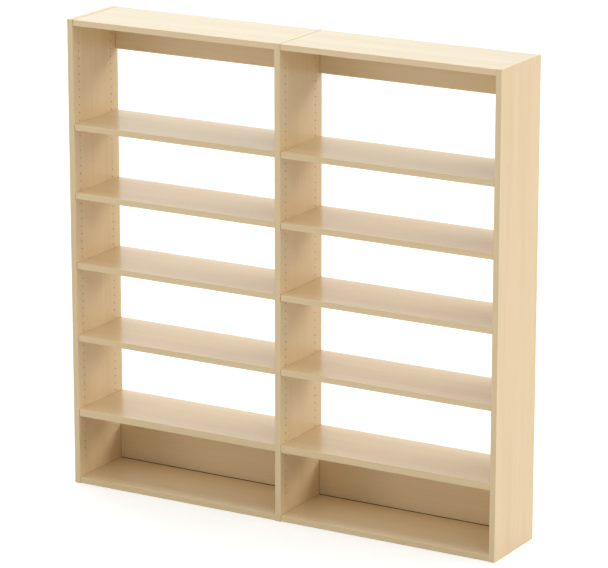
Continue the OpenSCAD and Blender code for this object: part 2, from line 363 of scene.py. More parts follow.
print("streaks are", STREAK[0], "times longer than wide, fibres", FIBRE[0], "times")

# %% [markdown]
# The print is nearly the same on all boards. The two at the top get a paler print, which is painted
# light from above.
# Where a board meets an upright, the cut end of its skin shows as a hair-thin dark
# line, deepened with painted shade of the gap there. On each bottom board a strip of
# painted shade lies from just in front of the back panel back under it, where the
# panel's foot shades the board. Both are colour and not shape, so they are painted where
# the model says the walls and panels are. Inside a bore the cutter has gone through the
# skin, so anything that lies deeper than the skin shows coarse brown chips.

# %% Prints and chips
# A print goes from its dark tone to its light one, and so do the chips
BOARD_PRINT = (paint(226, 202, 161), paint(232, 209, 170))
UPRIGHT_PRINT = (paint(227, 201, 159), paint(233, 208, 168))
# The two top boards get a paler, whiter copy of the print: painted light from above
TOP_PAINTED_LIGHT = (paint(220, 205, 171), paint(226, 212, 180))
FLECK_PRINT = paint(208, 176, 132)
CHIP = (1.0, 900.0, 3.0)
CHIP_PAINT = (paint(134, 98, 62), paint(196, 160, 112))


def chipboard(tree):
    """The bare core, from brown to pale chips."""
    return blend_paint(tree, spread(tree, pattern(tree, CHIP), *MID_NOISE, 0.0, 1.0), *CHIP_PAINT)


print("chips are some", round(1 / CHIP[1], 4), "m wide")

# %% Dark joint lines and painted shade
# How far a dark joint line with its painted shade reaches from the upright, in metres
JOINT_SHADE_REACH = 0.0009
# The colour of the dark joint lines, deepened as painted shade, and of the painted shade in front of
# each back panel
JOINT_SHADE_PAINT = paint(120, 80, 47)
BAY_WALLS = (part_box("middle_upright")[1].x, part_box("right_upright")[0].x)


def spot_on(tree):
    """The place on the object as three sockets, X, Y and Z in metres."""
    parts = shader_node(tree, "SeparateXYZ")
    tree.links.new(place(tree), parts.inputs["Vector"])
    return parts.outputs


def distance(tree, value, wanted):
    """How far a value is from a number."""
    return maths(tree, "ABSOLUTE", maths(tree, "SUBTRACT", value, wanted))


def at_joint_shade(tree, spot):
    """1 within a hair of the uprights' faces, for the joint line and its painted shade; bays mirror
    about X = 0.
    """
    off = maths(tree, "ABSOLUTE", spot[X])
    gaps = [distance(tree, off, wall) for wall in BAY_WALLS]
    return maths(tree, "LESS_THAN", maths(tree, "MINIMUM", *gaps), JOINT_SHADE_REACH)


def panel_foot_shade(tree, spot, middle, shade_from):
    """1 on the top of a lying board, from where its strip of painted shade starts to the rear."""
    on_top = maths(tree, "GREATER_THAN", spot[Z], middle)
    by_panel = maths(tree, "GREATER_THAN", spot[Y], shade_from)
    return maths(tree, "MINIMUM", on_top, by_panel)


print("dark lines at", [round(wall, 4) for wall in BAY_WALLS], "m on both sides of the middle")

# %% [markdown]
# All of it comes together in one finish. One material for all boards would be simpler,
# but the skin lies where a board's own box ends, so it is made anew for each board. The
# sheen is that of a satin lacquer whose gloss changes a little along the grain, and the
# uprights shine less than the boards. A very shallow relief of pearl and fibres breaks
# the reflections up.

# %% Laminate finish
# The skin's thickness and the depth of its relief are in metres
SKIN = 0.0003
SKIN_RELIEF = 0.00001
# How strongly the flecks colour the skin, and how much of the relief they sink
FLECK_SHARE = 0.5
FLECK_SINK = 0.4
# SATIN is the roughness of the skin, as the SHEEN pattern changes it, and CORE_DULL that
# of the chips. The lacquer is a refractive index: a lower one mirrors less.
SHEEN = (20.0, 40.0, 2.0)
SATIN = (0.23, 0.27)
CORE_DULL = 0.9
BOARD_LACQUER = 1.35
UPRIGHT_LACQUER = 1.25
PEARL = (1.0, 1800.0, 1.0)


def laminate(node, grain, thickness, print_and_painted_light, shade_from=None):
    """Finish for one board: grain is the axis of its figure, thickness its thin axis."""
    material, tree, shader = new_finish(node + "_laminate")
    low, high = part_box(node)
    middle = (low[thickness] + high[thickness]) / 2
    half = (high[thickness] - low[thickness]) / 2
    spot = spot_on(tree)
    figure, fibre = wood_figure(tree, grain)
    flecks = wood_flecks(tree, grain)

    printed = blend_paint(tree, figure, *print_and_painted_light)
    printed = blend_paint(tree, maths(tree, "MULTIPLY", flecks, FLECK_SHARE), printed, FLECK_PRINT)
    # The uprights run through, so only the boards between them end in a dark joint line with painted
    # shade
    if thickness != X:
        dark = at_joint_shade(tree, spot)
        # Painted shade on the bottom board, in front of and under the back panel's foot
        if shade_from is not None:
            dark = maths(tree, "MAXIMUM", dark, panel_foot_shade(tree, spot, middle, shade_from))
        printed = blend_paint(tree, dark, printed, JOINT_SHADE_PAINT)
    skin = maths(tree, "GREATER_THAN", distance(tree, spot[thickness], middle), half - SKIN)
    feed(tree, shader.inputs["Base Color"], blend_paint(tree, skin, chipboard(tree), printed))

    satin = spread(tree, pattern(tree, SHEEN, grain), *MOST_NOISE, *SATIN)
    feed(tree, shader.inputs["Roughness"], blend_value(tree, skin, CORE_DULL, satin))
    shader.inputs["IOR"].default_value = UPRIGHT_LACQUER if thickness == X else BOARD_LACQUER
    texture = blend_value(tree, EVENLY, pattern(tree, PEARL), fibre)
    sunk = maths(tree, "MULTIPLY", flecks, FLECK_SINK)
    raise_surface(tree, shader, maths(tree, "SUBTRACT", texture, sunk), SKIN_RELIEF)
    return material


print("skin is", SKIN, "m thick")

# %% Boards in their finish
UPRIGHTS = ("left_upright", "middle_upright", "right_upright")
SIDES = ("left", "right")
FIXED = ("bottom_board", "base_shelf", "middle_shelf", "top_board")
LOOSE = ("lower_shelf", "upper_shelf", "high_shelf")
STANDING = ("back_panel", "top_rail")
# How wide the strip of painted shade in front of a back panel is, in metres
PANEL_SHADE_WIDTH = 0.0045


def dress(node, material):
    """Puts one finish on all of a node."""
    slots = nodes[node].data.materials
    if len(slots) == 0:
        slots.append(material)
    for number in range(len(slots)):
        slots[number] = material


for upright in UPRIGHTS:
    dress(upright, laminate(upright, Z, X, UPRIGHT_PRINT))
for side in SIDES:
    shade_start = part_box(f"{side}_back_panel")[0].y - PANEL_SHADE_WIDTH
    for board in FIXED + LOOSE:
        node = f"{side}_{board}"
        tones = TOP_PAINTED_LIGHT if board == "top_board" else BOARD_PRINT
        dress(node, laminate(node, X, Z, tones, shade_start if board == "bottom_board" else None))
    for board in STANDING:
        node = f"{side}_{board}"
        dress(node, laminate(node, X, Y, BOARD_PRINT))
print("uprights:", len(UPRIGHTS), "boards in a bay:", len(FIXED + LOOSE + STANDING))

# %% [markdown]
# ## Edge bands
# A strip of coloured plastic is glued to each sawn edge, then its corners are scraped
# round. It is a touch yellower than the face and shows a faint figure along its length.
# On the two top boards it is painted brighter, which is painted light on them. It shines
# a little more on the scraped arris, which also carries a painted highlight in a paler
# colour. Short end bands run across the others, and on the ends of the uprights they are
# painted paler, which is painted light from above. They could have a material of their
# own, but a node has one finish for all its bands, so figure and tone turn with the
# surface normal instead. The dark joint line at the end of a board, with its painted
# shade, runs on across its band.

# %% Which way a band faces
# The largest part of the surface normal, where the arris is at its roundest and where it
# has run out into the flat of the band, and the part that tells an end band
ARRIS_NORMAL = (0.8, 0.98)
END_NORMAL = 0.9


def facing_axes(tree):
    """How squarely the surface faces along X, Y and Z, each from 0 to 1."""
    surface = shader_node(tree, "NewGeometry")
    parts = shader_node(tree, "SeparateXYZ")
    tree.links.new(surface.outputs["Normal"], parts.inputs["Vector"])
    return [maths(tree, "ABSOLUTE", part) for part in parts.outputs]


def on_arris(tree, facing):
    """1 on the scraped corner of a band, fading to 0 on its flat."""
    largest = maths(tree, "MAXIMUM", maths(tree, "MAXIMUM", facing[X], facing[Y]), facing[Z])
    return spread(tree, largest, *ARRIS_NORMAL, 1.0, 0.0)


print("an arris runs out where the normal's largest part is", ARRIS_NORMAL[1])

# %% Band finish
BAND_PRINT = (paint(226, 201, 156), paint(232, 209, 165))
# The top boards' bands get a brighter copy of the band colour: painted light
TOP_BAND_PAINTED_LIGHT = (paint(234, 206, 162), paint(240, 214, 171))
# The end bands of the uprights get a paler copy of the band colour: painted light from above
UPRIGHT_END_PAINTED_LIGHT = (paint(216, 200, 165), paint(223, 207, 173))
# The arris is painted paler as a painted highlight, and the share says how much of that colour is laid
# on
ARRIS_HIGHLIGHT_PAINT = paint(240, 222, 186)
ARRIS_HIGHLIGHT_SHARE = 0.4
ARRIS_SHEEN = 0.24
SCRAPED = (60.0, 1500.0, 2.0)
BAND_SHEEN = (0.34, 0.42)
BAND_RELIEF = 0.00003


def band(name, grain, end_grain, end_axis, print_and_painted_light, end_tones, joint_shaded):
    """Band finish; where the surface faces end_axis, its figure runs along end_grain."""
    material, tree, shader = new_finish(name)
    facing = facing_axes(tree)
    on_end = maths(tree, "GREATER_THAN", facing[end_axis], END_NORMAL)
    arris = on_arris(tree, facing)
    figure, fibre = wood_figure(tree, grain)
    end_figure, end_fibre = wood_figure(tree, end_grain)

    on_length = blend_paint(tree, figure, *print_and_painted_light)
    colour = blend_paint(tree, on_end, on_length, blend_paint(tree, end_figure, *end_tones))
    # Painted highlight along the scraped arris
    colour = blend_paint(tree, maths(tree, "MULTIPLY", arris, ARRIS_HIGHLIGHT_SHARE), colour, ARRIS_HIGHLIGHT_PAINT)
    # Painted shade: the dark joint line where the board meets an upright runs across the band
    if joint_shaded:
        colour = blend_paint(tree, at_joint_shade(tree, spot_on(tree)), colour, JOINT_SHADE_PAINT)
    feed(tree, shader.inputs["Base Color"], colour)

    scraped = pattern(tree, SCRAPED, grain)
    sheen = spread(tree, scraped, *MOST_NOISE, *BAND_SHEEN)
    feed(tree, shader.inputs["Roughness"], blend_value(tree, arris, sheen, ARRIS_SHEEN))
    fibres = blend_value(tree, on_end, fibre, end_fibre)
    raise_surface(tree, shader, blend_value(tree, EVENLY, scraped, fibres), BAND_RELIEF)
    return material


print("arris roughness:", ARRIS_SHEEN, "flat:", BAND_SHEEN)

# %% Bands in their finish
BANDED = ("bottom", "base", "middle", "top", "lower", "upper", "high", "back")

upright_band = band("upright_band", Z, Y, Z, BAND_PRINT, UPRIGHT_END_PAINTED_LIGHT, False)
board_band = band("board_band", X, Y, X, BAND_PRINT, BAND_PRINT, True)
top_band_painted_light = band("top_band_painted_light", X, Y, X, TOP_BAND_PAINTED_LIGHT, TOP_BAND_PAINTED_LIGHT, True)
for upright in UPRIGHTS:
    dress(f"{upright}_edging", upright_band)
for side in SIDES:
    for board in BANDED:
        dress(f"{side}_{board}_edging", top_band_painted_light if board == "top" else board_band)
print("banded nodes:", len(UPRIGHTS) + len(SIDES) * len(BANDED))

# %% [markdown]
# ## Metal and dowels
# The shelf supports and cam bolts are nickel plated steel, bright with fine rubbed
# lines. The cams are cast zinc, greyer and duller, with a cloudy skin. Both are one
# recipe with other numbers: clouds of a duller tint, and rubbed lines that change the
# sheen. The dowels are beech, turned and pressed, with short dark flecks along the
# grain, so they take the wood figure of the boards in other colours.

# %% Metal finishes
NICKEL_PAINT = paint(198, 195, 188)
NICKEL_SHEEN = (0.19, 0.37)
NICKEL_CLOUD = (1.0, 900.0, 3.0)
ZINC_PAINT = paint(176, 178, 180)
ZINC_SHEEN = (0.38, 0.56)
ZINC_CLOUD = (1.0, 1400.0, 3.0)
TARNISH = 0.82
RUBBED = (12.0, 4000.0, 2.0)
METAL_RELIEF = 0.00002


def metal(name, tint, sheen, cloud):
    """A metal whose tint is clouded and whose sheen is finely rubbed."""
    material, tree, shader = new_finish(name)
    clouds = pattern(tree, cloud)
    rubbed = pattern(tree, RUBBED, Y)
    dull = tuple(part * TARNISH for part in tint[:3]) + (1.0,)
    feed(tree, shader.inputs["Base Color"], blend_paint(tree, clouds, dull, tint))
    shader.inputs["Metallic"].default_value = 1.0
    feed(tree, shader.inputs["Roughness"], spread(tree, rubbed, *MOST_NOISE, *sheen))
    raise_surface(tree, shader, blend_value(tree, EVENLY, clouds, rubbed), METAL_RELIEF)
    return material


nickel = metal("nickel_plate", NICKEL_PAINT, NICKEL_SHEEN, NICKEL_CLOUD)
zinc = metal("cast_zinc", ZINC_PAINT, ZINC_SHEEN, ZINC_CLOUD)
print("metals:", nickel.name, zinc.name)

# %% Beech finish
BEECH_PAINT = (paint(198, 157, 114), paint(216, 181, 138))
BEECH_FLECK = paint(150, 100, 62)
BEECH_FLECK_SHARE = 0.6
BEECH_SHEEN = (0.5, 0.7)
BEECH_RELIEF = 0.00008

beech, tree, shader = new_finish("turned_beech")
figure, fibre = wood_figure(tree, X)
fleck_share = maths(tree, "MULTIPLY", wood_flecks(tree, X), BEECH_FLECK_SHARE)
colour = blend_paint(tree, figure, *BEECH_PAINT)
feed(tree, shader.inputs["Base Color"], blend_paint(tree, fleck_share, colour, BEECH_FLECK))
feed(tree, shader.inputs["Roughness"], spread(tree, fibre, *MOST_NOISE, *BEECH_SHEEN))
raise_surface(tree, shader, fibre, BEECH_RELIEF)
print("wood:", beech.name)

# %% [markdown]
# ## Fittings
# The small fittings repeat many times, so each is modelled once and then copied to its
# places. Their points could be reckoned in code, but the tools of edit mode say more
# plainly what is done: a primitive is added, faces and edges are chosen by where they
# lie or how they face, and an operator works on the choice. It acts on all that is
# selected, so everything is let go before a piece is added or taken. Lengths are
# written in millimetres and scaled here.

# %% Helpers to take and settle a piece
MM = 0.001


def let_go():
    """Selects nothing."""
    bpy.ops.object.select_all(action="DESELECT")


def take(piece):
    """Selects one object alone."""
    let_go()
    piece.select_set(True)
    bpy.context.view_layer.objects.active = piece


def settle(piece, name):
    """Names an object, and writes its place, turn and scale into its mesh."""
    piece.name = name
    take(piece)
    bpy.ops.object.transform_apply(location=True, rotation=True, scale=True)


print("1 mm is", MM, "m")

# %% Helpers for edit mode
# Two places are the same within a hair, and two points are merged within a tenth of it
HAIR = 0.02 * MM
SAME_POINT = HAIR / 10
# A face looks straight along an axis when its normal has at least this much of it
STRAIGHT = 0.99
KINDS = {"EDGE": "edges", "FACE": "faces"}


def start_editing(piece):
    """Goes into edit mode on one object alone."""
    take(piece)
    bpy.ops.object.mode_set(mode="EDIT")


def stop_editing():
    """Goes back to object mode."""
    bpy.ops.object.mode_set(mode="OBJECT")


def choose(piece, kind, test):
    """In edit mode, selects the edges or faces that pass a test, and no others."""
    bpy.ops.mesh.select_mode(type=kind)
    bpy.ops.mesh.select_all(action="DESELECT")
    mesh = bmesh.from_edit_mesh(piece.data)
    chosen = [part for part in getattr(mesh, KINDS[kind]) if test(part)]
    for part in chosen:
        part.select_set(True)
    bmesh.update_edit_mesh(piece.data)
    return len(chosen)


def face_outwards():
    """In edit mode, turns all faces of a closed shape outwards."""
    bpy.ops.mesh.select_all(action="SELECT")
    bpy.ops.mesh.normals_make_consistent(inside=False)


print("two places are the same within", HAIR / MM, "mm")

# %% Helpers for modifiers and shading
SMOOTH_ANGLE = math.radians(35)


def apply_modifier(piece, kind, **settings):
    """Adds a modifier, gives it its settings and applies it."""
    modifier = piece.modifiers.new(kind.lower(), kind)
    for name, value in settings.items():
        setattr(modifier, name, value)
    take(piece)
    bpy.ops.object.modifier_apply(modifier=modifier.name)


def combine(piece, tool, operation):
    """Joins a solid to a piece or cuts it out, and throws the solid away."""
    apply_modifier(piece, "BOOLEAN", operation=operation, solver="EXACT", object=tool)
    bpy.data.objects.remove(tool)


def cut(piece, cutter):
    """Cuts one solid out of another."""
    combine(piece, cutter, "DIFFERENCE")


def fuse(piece, addition):
    """Makes one solid of two."""
    combine(piece, addition, "UNION")


def smooth(piece, angle=SMOOTH_ANGLE):
    """Shades a piece round, apart from edges sharper than an angle."""
    take(piece)
    bpy.ops.object.shade_smooth_by_angle(angle=angle)


print("edges sharper than", round(math.degrees(SMOOTH_ANGLE)), "degrees stay sharp")

# %% Lathe
LATHE_SIDES = 28


def turned(name, profile, sides=LATHE_SIDES):
    """A piece turned on a lathe: profile is a list of (place along X, radius) in millimetres."""
    (before, radius), *rest = profile
    let_go()
    bpy.ops.mesh.primitive_circle_add(
        vertices=sides, radius=radius * MM, fill_type="NGON",
        location=(before * MM, 0.0, 0.0), rotation=(0.0, QUARTER_TURN, 0.0))
    piece = bpy.context.object
    settle(piece, name)
    start_editing(piece)
    bpy.ops.mesh.select_all(action="SELECT")
    for x, new_radius in rest:
        bpy.ops.mesh.extrude_region_move(TRANSFORM_OT_translate={"value": ((x - before) * MM, 0.0, 0.0)})
        growth = new_radius / radius
        bpy.ops.transform.resize(value=(1.0, growth, growth), center_override=(x * MM, 0.0, 0.0))
        before, radius = x, new_radius
    face_outwards()
    stop_editing()
    return piece


print("turned pieces have", LATHE_SIDES, "sides unless told otherwise")

# %% [markdown]
# Where the fittings go follows from the boards. Along the depth they keep to the rows
# of the shelf bores. A place is given for one end of a bay. The other end could be
# mirrored, but a mirror turns a right-hand thread into a left-hand one, so it is the
# same place turned half round. The copies for one node are joined into one object,
# which rides on the carcass and stands for that node.

# %% Places in a bay
HALF_TURN = math.radians(180)
# From the front and from the rear of the unit to the rows of bores
FRONT_ROW = 44.0
REAR_ROW = 53.0

rear_y = cad_box[1].y / MM
row_y = (cad_box[0].y / MM + FRONT_ROW, rear_y - REAR_ROW)
bay_faces = {
    "left": (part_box("left_upright")[1].x / MM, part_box("middle_upright")[0].x / MM),
    "right": (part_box("middle_upright")[1].x / MM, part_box("right_upright")[0].x / MM),
}


def bay_ends(side):
    """For both ends of a bay: the face of the upright, and the turn that points into the bay."""
    start, end = bay_faces[side]
    return ((start, 0.0), (end, HALF_TURN))


def at(x, y, z, turn=0.0):
    """A place in the unit, in millimetres, turned about the upright axis."""
    return Matrix.Translation((x * MM, y * MM, z * MM)) @ Matrix.Rotation(turn, 4, "Z")


print("rows of bores at y =", [round(y, 1) for y in row_y], "mm")
print("a bay is", round(bay_faces["left"][1] - bay_faces["left"][0], 1), "mm wide inside")

# %% Copies in their places
def copies_of(piece, finish, places):
    """Copies of a piece, each with its own mesh and with its place in that mesh."""
    piece.data.materials.clear()
    piece.data.materials.append(finish)
    copies = []
    for where in places:
        copy = piece.copy()
        copy.data = piece.data.copy()
        copy.data.transform(where)
        scene.collection.objects.link(copy)
        copies.append(copy)
    return copies


def put(piece, name, places, finish, replaced):
    """Copies a piece to its places, makes the copies one group and lets it stand for a node."""
    copies = copies_of(piece, finish, places)
    take(copies[0])
    for copy in copies:
        copy.select_set(True)
    bpy.ops.object.join()
    group = bpy.context.object
    group.name = name
    group.data.name = name
    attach(group, "carcass")
    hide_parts(replaced)
    triangles = sum(len(face.vertices) - 2 for face in group.data.polygons)
    print(name, "copies:", len(copies), "triangles:", triangles)


print("helpers for copies: copies_of, put")

# %% [markdown]
# A shelf support is a steel angle. Its shank plugs into a bore, its plate lies against
# the upright, and its ledge carries the shelf. It could be put together from blocks,
# but then the bend would be a joint, so it is drawn out of one plate, as the real one
# is bent. The plate starts as a flat disc. The lower half is cut away, the straight
# edge is drawn down in two steps, and the lower step is drawn out into the ledge. The
# tip of the ledge is rounded, and so are the inside and the outside of the bend. A
# shank with three grip rings is joined on behind, with its riveted end in front. Each
# is a turned profile.

# %% Angle of the shelf support
PLATE = 1.0
PLATE_SIDES = 40
SUPPORT_WIDTH = 9.0
# From the axis of the bore down to the underside of the shelf
SEAT_DROP = 3.0
LEDGE_LENGTH = 11.0
LEDGE_THICK = 2.0

let_go()
bpy.ops.mesh.primitive_cylinder_add(
    vertices=PLATE_SIDES, radius=SUPPORT_WIDTH / 2 * MM, depth=PLATE * MM,
    location=(PLATE / 2 * MM, 0.0, 0.0), rotation=(0.0, QUARTER_TURN, 0.0))
support = bpy.context.object
settle(support, "support")
start_editing(support)
bpy.ops.mesh.select_all(action="SELECT")
bpy.ops.mesh.bisect(plane_co=(0.0, 0.0, 0.0), plane_no=(0.0, 0.0, 1.0), use_fill=True, clear_inner=True)
face_outwards()
for step in (SEAT_DROP, LEDGE_THICK):
    choose(support, "FACE", lambda face: face.normal.z < -STRAIGHT)
    bpy.ops.mesh.extrude_region_move(TRANSFORM_OT_translate={"value": (0.0, 0.0, -step * MM)})
ledge_top = -SEAT_DROP * MM
ledge_foot = ledge_top - LEDGE_THICK * MM
ledge_out = ((LEDGE_LENGTH - PLATE) * MM, 0.0, 0.0)


def ledge_front(face):
    """The front of the lower step."""
    return face.normal.x > STRAIGHT and face.calc_center_median().z < ledge_top


choose(support, "FACE", ledge_front)
bpy.ops.mesh.extrude_region_move(TRANSFORM_OT_translate={"value": ledge_out})
stop_editing()
print("ledge is", LEDGE_LENGTH, "mm long,", SEAT_DROP, "mm under the bore's axis")

# %% Rounded corners of the support
# Each rounding: how far it reaches in millimetres, and its steps
TIP_ROUND = (2.2, 6)
BEND_ROUND = (0.35, 3)
HEEL_ROUND = (0.8, 4)
EDGE_BREAK = 0.12


def near(value, wanted):
    """True where two places are the same within a hair."""
    return abs(value - wanted) < HAIR


def at_tip(edge):
    """The short upright edges at the tip of the ledge."""
    first, second = (corner.co for corner in edge.verts)
    return min(first.x, second.x) > LEDGE_LENGTH * MM - HAIR and near(first.y, second.y)


def in_bend(edge):
    """The inside of the bend between plate and ledge."""
    return all(near(corner.co.x, PLATE * MM) and near(corner.co.z, ledge_top) for corner in edge.verts)


def at_heel(edge):
    """The outside of that bend."""
    return all(near(corner.co.x, 0.0) and corner.co.z < ledge_foot + HAIR for corner in edge.verts)


start_editing(support)
for corner_test, (radius, steps) in ((at_tip, TIP_ROUND), (in_bend, BEND_ROUND), (at_heel, HEEL_ROUND)):
    rounded = choose(support, "EDGE", corner_test)
    bpy.ops.mesh.bevel(offset=radius * MM, segments=steps)
    print("rounded edges:", rounded, "to", radius, "mm")
stop_editing()
apply_modifier(support, "BEVEL", width=EDGE_BREAK * MM, segments=2, limit_method="ANGLE",
               angle_limit=SMOOTH_ANGLE)
smooth(support)

# %% Shank and rivet of the support
SHANK = ((-10.5, 1.6), (-10.0, 2.1), (-8.6, 2.25), (-8.3, 2.4), (-7.9, 2.4), (-7.6, 2.25),
         (-6.2, 2.25), (-5.9, 2.4), (-5.5, 2.4), (-5.2, 2.25), (-3.8, 2.25), (-3.5, 2.4),
         (-3.1, 2.4), (-2.8, 2.25), (0.5, 2.25))
RIVET = ((0.4, 2.2), (1.05, 2.1), (1.2, 1.7), (1.28, 0.9))

fuse(support, turned("shank", SHANK))
fuse(support, turned("rivet", RIVET))
smooth(support)
print("support faces:", len(support.data.polygons))

# %% Shelf supports in place
for side in SIDES:
    places = []
    for board in LOOSE:
        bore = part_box(f"{side}_{board}")[0].z / MM + SEAT_DROP
        places += [at(x, y, bore, turn) for x, turn in bay_ends(side) for y in row_y]
    put(support, f"{side}_support_angles", places, nickel, f"{side}_shelf_supports")
bpy.data.objects.remove(support)

# %% [markdown]
# A cam bolt screws into the bore of an outer upright, a collar stops it, and its head
# on a thin neck reaches into the cam inside the board. It is turned from one profile,
# as on a lathe. The thread could be bump alone, but its ridge shows in the outline, so
# it is a triangle that the Screw modifier winds along the shank, joined on as a solid.
# A cross is cut into the head for the driver. The middle upright takes a smooth bolt
# right through it with a head at each end, for both bays at once. A bolt lies in the
# middle of a board's thickness. Only in the thick base shelf it lies lower, as near the
# face as in the thin panel and rail, so that these all take the small cam.

# %% Thread
CORE = 1.75
THREAD_PITCH = 2.0
THREAD_TURNS = 4
THREAD_STEPS = 14
THREAD_START = -9.2
# The ridge's three-sided section: its radius, and how far its middle is from the axis
RIDGE_RADIUS = 0.85
RIDGE_MIDDLE = 1.92


def thread_ridge(name):
    """The ridge of a thread: a triangle wound along +X by the Screw modifier."""
    let_go()
    bpy.ops.mesh.primitive_circle_add(
        vertices=3, radius=RIDGE_RADIUS * MM, location=(THREAD_START * MM, 0.0, RIDGE_MIDDLE * MM),
        rotation=(QUARTER_TURN, 0.0, 0.0))
    ridge = bpy.context.object
    settle(ridge, name)
    apply_modifier(ridge, "SCREW", axis="X", screw_offset=THREAD_PITCH * MM, iterations=THREAD_TURNS,
                   steps=THREAD_STEPS, render_steps=THREAD_STEPS, use_merge_vertices=False)
    start_editing(ridge)
    bpy.ops.mesh.select_all(action="SELECT")
    bpy.ops.mesh.remove_doubles(threshold=SAME_POINT)
    bpy.ops.mesh.fill_holes(sides=3)
    face_outwards()
    stop_editing()
    return ridge


print("thread is", THREAD_PITCH * THREAD_TURNS, "mm long")

# %% Driver cross
CROSS_TURNS = (45, 135)
BAR_TAPER = (0.75, 0.8, 1.0)


def cross_bars(name, sizes, spot, faces_x):
    """Two crossed bars that narrow inwards; sizes are length, width and depth in millimetres."""
    length, width, depth = sizes
    bars = []
    for turn in CROSS_TURNS:
        let_go()
        bpy.ops.mesh.primitive_cube_add(size=1.0)
        bar = bpy.context.object
        bar.scale = (length * MM, width * MM, 2 * depth * MM)
        settle(bar, f"{name}_{turn}")
        start_editing(bar)
        choose(bar, "FACE", lambda face: face.normal.z > STRAIGHT)
        bpy.ops.transform.resize(value=BAR_TAPER)
        stop_editing()
        bar.data.transform(Matrix.Rotation(math.radians(turn), 4, "Z"))
        if faces_x:
            bar.data.transform(Matrix.Rotation(-QUARTER_TURN, 4, "Y"))
        bar.data.transform(Matrix.Translation(Vector(spot) * MM))
        bars.append(bar)
    return bars


print("bars of a cross lie at", CROSS_TURNS, "degrees")

# %% Single bolt
NECK = 2.0
TIP = ((-10.5, 1.0), (-9.8, CORE))
COLLAR = ((-0.7, CORE), (-0.3, 2.35), (0.0, 2.35), (0.05, 3.5), (0.35, 3.8), (2.65, 3.8), (2.95, 3.5),
          (3.0, 2.6), (3.6, NECK))
HEAD = ((31.9, 2.0), (32.1, 2.8), (32.7, 3.15), (34.0, 3.25), (35.3, 3.1), (35.8, 2.6), (36.0, 1.9))
# Length, width and depth of the driver cross
HEAD_CROSS = (3.4, 0.7, 1.6)

single_bolt = turned("single_bolt", TIP + COLLAR + HEAD)
fuse(single_bolt, thread_ridge("thread"))
for bar in cross_bars("head_cross", HEAD_CROSS, (HEAD[-1][0], 0.0, 0.0), True):
    cut(single_bolt, bar)
smooth(single_bolt)
print("single bolt faces:", len(single_bolt.data.polygons))

# %% Double bolt
SHANK_HALF = 15.5
SHANK_TAPER = 0.4
SHANK_RADIUS = 2.4
GRIP = ((3.0, SHANK_RADIUS), (3.4, 2.25), (5.0, 2.25), (5.4, SHANK_RADIUS))

half_upright = (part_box("middle_upright")[1].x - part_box("middle_upright")[0].x) / 2 / MM
one_half = GRIP + ((SHANK_HALF - SHANK_TAPER, SHANK_RADIUS), (SHANK_HALF, NECK))
one_half += tuple((half_upright + x, radius) for x, radius in HEAD)
other_half = tuple((-x, radius) for x, radius in reversed(one_half))
double_bolt = turned("double_bolt", other_half + one_half)
smooth(double_bolt)
print("double bolt faces:", len(double_bolt.data.polygons))

# %% Cam bolts in place
# Depth of a bolt's axis under the face that its small cam opens in
THIN_AXIS = 8.0
# From the sawn lower and upper edges of the rail or the panel to the bolts
BACK_INSET = 31.0


def level_of(board_node):
    """Height of the fittings in the edge of a lying board."""
    low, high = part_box(board_node)
    if board_node.endswith("base_shelf"):
        return low.z / MM + THIN_AXIS
    return (low.z + high.z) / 2 / MM


def standing_levels(board_node):
    """Heights of the two bolts in the end of the rail or the panel."""
    low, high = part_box(board_node)
    return low.z / MM + BACK_INSET, high.z / MM - BACK_INSET


back_y = rear_y - THIN_AXIS
bolt_spots = [(y, level_of(f"left_{board}")) for board in FIXED for y in row_y]
bolt_spots += [(back_y, z) for board in STANDING for z in standing_levels(f"left_{board}")]
outer_ends = {"left": bay_ends("left")[0], "right": bay_ends("right")[1]}
for side, (face, turn) in outer_ends.items():
    places = [at(face, y, z, turn) for y, z in bolt_spots]
    put(single_bolt, f"{side}_bolts", places, nickel, f"{side}_cam_bolts")
places = [at(0.0, y, z) for y, z in bolt_spots]
put(double_bolt, "double_bolts", places, nickel, "double_cam_bolts")
for bolt in (single_bolt, double_bolt):
    bpy.data.objects.remove(bolt)

# %% [markdown]
# A cam is a small zinc drum in the underside of a board, or in the rear of the rail and
# the panel. The head of the bolt enters its pocket, and a turn of the cross draws the
# bolt in. Its drum starts as a cylinder whose rims are bevelled. The open face is inset
# twice to leave a rim, the cross and the pocket are cut out, and so is the slot that
# the bolt's neck runs along, which is a small square spun about the axis. An arrow on
# the face points at the bolt.

# %% Slot and arrow of a cam
# The square's side, and how far from the drum's axis it starts
SLOT_SIDE = 4.8
SLOT_START = 4.2
SLOT_TURN = math.radians(110)
SLOT_STEPS = 12
ARROW_RADIUS = 0.9
ARROW_HEIGHT = 0.5
ARROW_PLACE = 4.4


def neck_slot(name):
    """The slot for the neck: a square across the drum's wall, spun about the axis."""
    let_go()
    bpy.ops.mesh.primitive_plane_add(
        size=SLOT_SIDE * MM, location=((-SLOT_START - SLOT_SIDE / 2) * MM, 0.0, 0.0),
        rotation=(QUARTER_TURN, 0.0, 0.0))
    slot = bpy.context.object
    settle(slot, name)
    start_editing(slot)
    bpy.ops.mesh.select_all(action="SELECT")
    bpy.ops.mesh.spin(steps=SLOT_STEPS, angle=SLOT_TURN, center=(0.0, 0.0, 0.0), axis=(0.0, 0.0, 1.0))
    face_outwards()
    stop_editing()
    return slot


def arrow(name, dish):
    """A three-sided mark that stands in the dish of a cam and points at the bolt."""
    let_go()
    bpy.ops.mesh.primitive_cylinder_add(
        vertices=3, radius=ARROW_RADIUS * MM, depth=ARROW_HEIGHT * MM,
        location=(-ARROW_PLACE * MM, 0.0, dish * MM), rotation=(0.0, 0.0, QUARTER_TURN))
    mark = bpy.context.object
    settle(mark, name)
    return mark


print("neck slot spans", round(math.degrees(SLOT_TURN)), "degrees")

# %% Cams
CAM_RADIUS = 7.4
CAM_SIDES = 48
